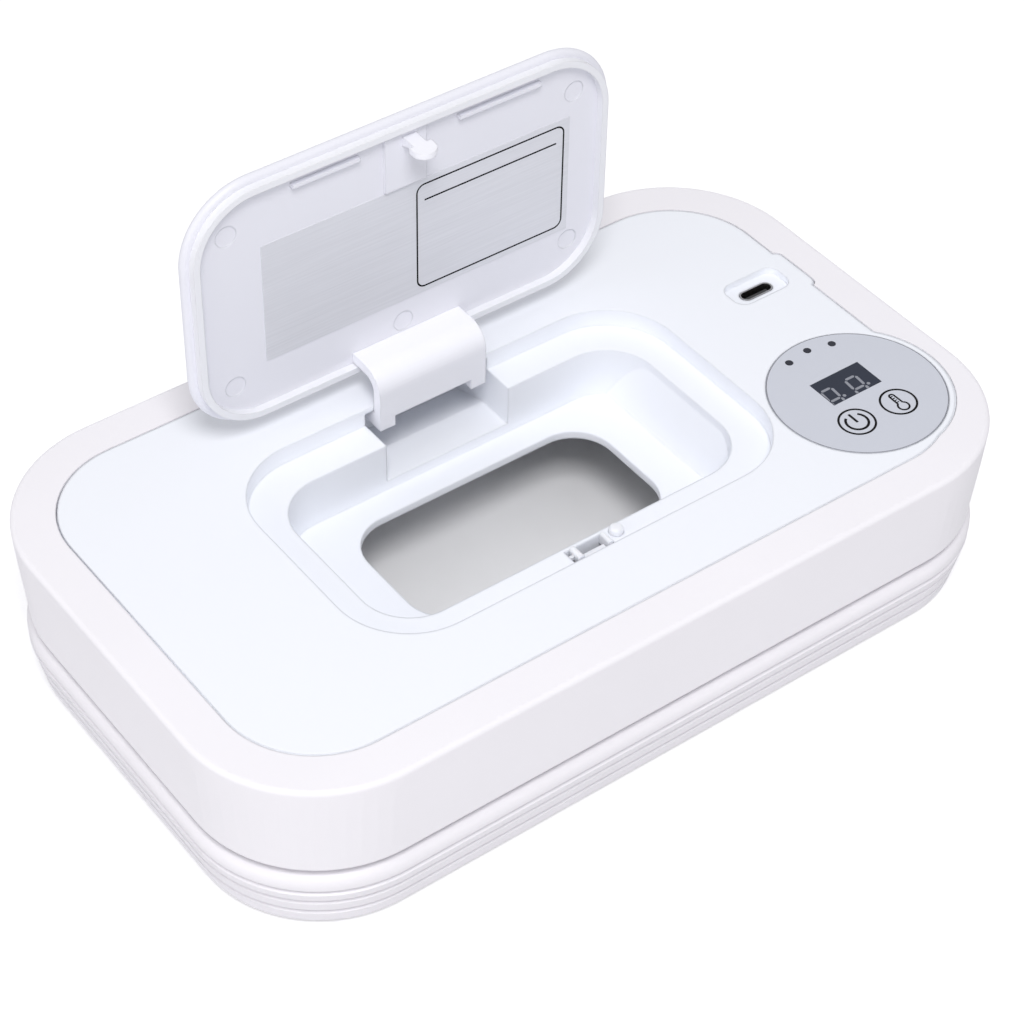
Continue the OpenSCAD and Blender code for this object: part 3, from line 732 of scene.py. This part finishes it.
contact_step = (tongue_high.x - tongue_low.x) / (CONTACT_COUNT + 1)
contact_top = tongue_high.z - CONTACT_DROP
contact_faces = ((tongue_low.y - CONTACT_SIZE.y, tongue_low.y),
                 (tongue_high.y, tongue_high.y + CONTACT_SIZE.y))
contacts = []
for i in range(CONTACT_COUNT):
    x = tongue_low.x + contact_step * (i + 1)
    for y0, y1 in contact_faces:
        contacts.append(brick(Vector((x - CONTACT_SIZE.x / 2, y0, contact_top - CONTACT_SIZE.z)),
                              Vector((x + CONTACT_SIZE.x / 2, y1, contact_top))))
contact_gold = moulded("contact_gold", CONTACT_GOLD, 0.25, edge=0.01, metallic=1.0)
add_piece("socket_contacts", *joined(contacts), contact_gold, "cover", "bright_steel")


# Hinge
# A polished steel pin through two ears of the plate and the two lugs of the lid's arm. A wound
# spring sits on the pin, and both of its legs point down into the slot.
PIN_STEEL = (0.62, 0.62, 0.64)
steel = moulded("pin_steel", PIN_STEEL, 0.24, edge=0.1, grain=1200.0, depth=0.004, metallic=1.0)
dress(steel, "hinge_pin", "latch_spring")
WIRE_RADIUS = 0.38 * MM
LEG_REACH = 2.6 * MM
SPRING_TURNS = 11
STEPS_PER_TURN = 20
spring_low, spring_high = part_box("hinge_spring")
spring_centre = (spring_low + spring_high) / 2
coil_radius = (spring_high.z - spring_low.z) / 2 - WIRE_RADIUS
wound_from = spring_low.x + WIRE_RADIUS
wound_to = spring_high.x - WIRE_RADIUS
spring_path = []
for i in range(SPRING_TURNS * STEPS_PER_TURN + 1):
    turn_angle = 2 * math.pi * i / STEPS_PER_TURN
    along = i / (SPRING_TURNS * STEPS_PER_TURN)
    spring_path.append(Vector((
        wound_from + (wound_to - wound_from) * along,
        spring_centre.y + coil_radius * math.cos(turn_angle),
        spring_centre.z + coil_radius * math.sin(turn_angle),
    )))
spring_path.insert(0, spring_path[0] + Vector((0, 0, -LEG_REACH)))
spring_path.append(spring_path[-1] + Vector((0, 0, -LEG_REACH)))


def wire(name, path, radius, material, body):
    """A round wire along points, as a curve with a round section."""
    data = bpy.data.curves.new(name, "CURVE")
    data.dimensions = "3D"
    data.bevel_depth = radius
    data.bevel_resolution = 3
    data.use_fill_caps = True
    line = data.splines.new("POLY")
    line.points.add(len(path) - 1)
    for point, place in zip(line.points, path):
        point.co = (*place, 1)
    data.materials.append(material)
    piece = bpy.data.objects.new(name, data)
    bpy.context.scene.collection.objects.link(piece)
    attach(piece, body)
    return piece


spring_wire = wire("hinge_spring_wire", spring_path, WIRE_RADIUS, steel, "cover")
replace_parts(spring_wire, "hinge_spring")


# Latch
# A milky nylon catch that slides in its case under the front ledge. Two soft jaws and a web
# stand round the hook's place in the pocket, clear of the closed lid and its seal. A soft
# bumper beside them takes the lid.
MILKY_WHITE = (0.90, 0.91, 0.95)
milky = moulded("catch_milky", MILKY_WHITE, 0.45, edge=0.3, cloud_low=0.95, subsurface=0.3)
dress(milky, "latch_catch", "lid_bumper")
BUMPER_RISE = 1.5 * MM
POCKET_FRONT = -31.3 * MM
POCKET_BACK = -27.3 * MM
POCKET_LEFT = -6.4 * MM
POCKET_RIGHT = 4.2 * MM
POCKET_GAP = 0.1 * MM
JAW_DEPTH = 2.2 * MM
JAW_RISE = 0.65 * MM
JAW_FRONT = -30.8 * MM
LEFT_JAW = (-5.1 * MM, -3.5 * MM)
RIGHT_JAW = (2.9 * MM, POCKET_RIGHT - POCKET_GAP)
WEB_BACK = -29.75 * MM
WEB_DROP = 0.35 * MM
WEB_SHORT = 0.7 * MM
RIB_FRONT = -29.4 * MM
RIB_BACK = -28.7 * MM
RIB_DROP = 0.2 * MM
RIB_DEPTH = 1.2 * MM
ledge_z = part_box("lid_bumper")[1].z - BUMPER_RISE


def jaw(left, right, front, back):
    """An upright bar with a half-round top, along the pocket's depth."""
    radius = (right - left) / 2
    crown_centre = Vector(((left + right) / 2, ledge_z + JAW_RISE - radius))
    crown = arc_path(crown_centre, radius, 0, 180, 12)
    outline = [Vector((left, ledge_z - JAW_DEPTH)), Vector((right, ledge_z - JAW_DEPTH))] + crown
    flat, faces = slab(outline, back - front)
    return [(x, front + h, z) for x, z, h in flat], [face[::-1] for face in faces]


web_front, jaw_back = POCKET_FRONT + POCKET_GAP, POCKET_BACK - POCKET_GAP
latch_jaws = joined([
    jaw(*LEFT_JAW, JAW_FRONT, jaw_back),
    jaw(*RIGHT_JAW, JAW_FRONT, jaw_back),
    brick(Vector((LEFT_JAW[1], web_front, ledge_z - JAW_DEPTH)),
          Vector((RIGHT_JAW[0] - WEB_SHORT, WEB_BACK, ledge_z - WEB_DROP))),
    brick(Vector((POCKET_LEFT + POCKET_GAP, RIB_FRONT, ledge_z - RIB_DEPTH)),
          Vector((LEFT_JAW[0], RIB_BACK, ledge_z - RIB_DROP))),
])
add_piece("latch_jaws", *latch_jaws, milky, "cover", "latch_plastic")


# Lid
# A flat white panel with a round edge, a moulded arm that goes down into the hinge slot, two
# thin ribs and a hook at the free edge, and the round marks of the mould's ejector pins.
LID_WHITE = (0.84, 0.84, 0.9)
# The arm and the hook are one moulding with the panel but get a lighter white: painted light, a lit
# copy of the lid's white.
ARM_LIT_WHITE = (0.93, 0.93, 0.98)
SEAL_WHITE = (0.88, 0.885, 0.92)
LID_SKIN = dict(roughness=0.4, edge=0.5, grain=3000.0, depth=0.004, cloud_low=0.99, spread=0.04)
arm_lit_white = moulded("arm_lit_white", ARM_LIT_WHITE, **LID_SKIN)
dress(moulded("lid_white", LID_WHITE, **LID_SKIN), "lid_panel")
dress(arm_lit_white, "lid_arm")
dress(moulded("seal_white", SEAL_WHITE, 0.5, edge=0.3, depth=0.006), "lid_seal")
HOOK_MIDDLE = -0.3 * MM
STEM_WIDTH = 3.4 * MM
HEAD_WIDTH = 5.6 * MM
HEAD_LENGTH = 4.2 * MM
HOOK_THICK = 1.5 * MM
CAD_BARB = 1.1 * MM
GUSSET = 2.2 * MM
GUSSET_DROP = 0.9 * MM
hook_low, hook_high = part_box("lid_hook")
hook_length = hook_high.y - hook_low.y
hook_under = hook_high.z - CAD_BARB - HOOK_THICK


def build_hook():
    """A stem with a wide round head, clear of the solid's barb, and a gusset at the lid."""
    stem, head = STEM_WIDTH / 2, HEAD_WIDTH / 2
    shoulder = hook_length - HEAD_LENGTH
    right_side = [Vector((stem, 0)), Vector((stem, shoulder)), Vector((head, shoulder))]
    left_side = [Vector((-p.x, p.y)) for p in reversed(right_side)]
    head_round = arc_path(Vector((0, hook_length - head)), head, 0, 180, 20)
    flat, faces = slab(right_side + head_round + left_side, HOOK_THICK)
    verts = [(HOOK_MIDDLE + x, hook_high.y - d, hook_under + h) for x, d, h in flat]
    side_view = ((hook_high.y, hook_under), (hook_high.y, hook_under - GUSSET_DROP),
                 (hook_high.y - GUSSET, hook_under))
    gusset = [(HOOK_MIDDLE + side * stem, y, z) for side in (-1, 1) for y, z in side_view]
    gusset_faces = [(0, 1, 2), (5, 4, 3), (0, 3, 4, 1), (1, 4, 5, 2), (2, 5, 3, 0)]
    return joined([(verts, [face[::-1] for face in faces]), (gusset, gusset_faces)])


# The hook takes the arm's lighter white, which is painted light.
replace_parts(add_piece("lid_hook_shape", *build_hook(), arm_lit_white, "lid", "lid_plastic"), "lid_hook")


# Foil
# A plain silver-grey sticker inside the lid, with an empty printed frame at its right half.
# The words and signs that such a sticker carries are left out.
FOIL_SILVER = (0.70, 0.705, 0.75)
FOIL_BRIGHT = (0.80, 0.805, 0.85)
STREAK_STRETCH = (1.0, 1.0, 40.0)
FRAME_MARGIN = 1.6 * MM
FRAME_LEFT = 0.49
FRAME_ROUND = 2.0 * MM
FRAME_LINE = 0.4 * MM
HEAD_LINE_DOWN = 4.2 * MM
HEAD_LINE_IN = 2.0 * MM


def foil_material():
    """Brushed silver film: fine streaks along its length and slight waves of tone."""
    material = moulded("foil_silver", FOIL_SILVER, 0.42, edge=0.02, grain=700.0, depth=0.004,
                       cloud_low=0.94, metallic=0.15)
    tree = material.node_tree
    place = tree.nodes.new("ShaderNodeTexCoord")
    stretch = tree.nodes.new("ShaderNodeMapping")
    stretch.inputs["Scale"].default_value = STREAK_STRETCH
    streaks = tree.nodes.new("ShaderNodeTexNoise")
    streaks.inputs["Scale"].default_value = 60.0
    streaks.inputs["Detail"].default_value = 5.0
    tree.links.new(place.outputs["Object"], stretch.inputs["Vector"])
    tree.links.new(stretch.outputs["Vector"], streaks.inputs["Vector"])
    blend_in(material, FOIL_BRIGHT, streaks.outputs["Fac"])
    return material


dress(foil_material(), "lid_foil")
foil_low, foil_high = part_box("lid_foil")


def rounded_path(low, high, radius, count=8):
    """A closed path round a rectangle with round corners."""
    corners = ((high.x, high.y, 0), (low.x, high.y, 90), (low.x, low.y, 180), (high.x, low.y, 270))
    path = []
    for x, y, start in corners:
        inward = Vector((-math.copysign(radius, x - (low.x + high.x) / 2),
                         -math.copysign(radius, y - (low.y + high.y) / 2)))
        path += arc_path(Vector((x, y)) + inward, radius, start, start + 90, count)
    return path


frame_left = foil_low.x + (foil_high.x - foil_low.x) * FRAME_LEFT
frame_low = Vector((frame_left, foil_low.z + FRAME_MARGIN))
frame_high = Vector((foil_high.x - FRAME_MARGIN, foil_high.z - FRAME_MARGIN))
head_line = [Vector((x, frame_high.y - HEAD_LINE_DOWN))
             for x in (frame_low.x + HEAD_LINE_IN, frame_high.x - HEAD_LINE_IN)]
flat_frame = joined([
    stroke(rounded_path(frame_low, frame_high, FRAME_ROUND), FRAME_LINE, LAYER_RISE, closed=True),
    stroke(head_line, FRAME_LINE, LAYER_RISE),
])
frame_verts = [Vector((x, foil_low.y - h, z)) for x, z, h in flat_frame[0]]
add_piece("foil_frame_print", frame_verts, flat_frame[1], ink, "lid", "dark_plastic")
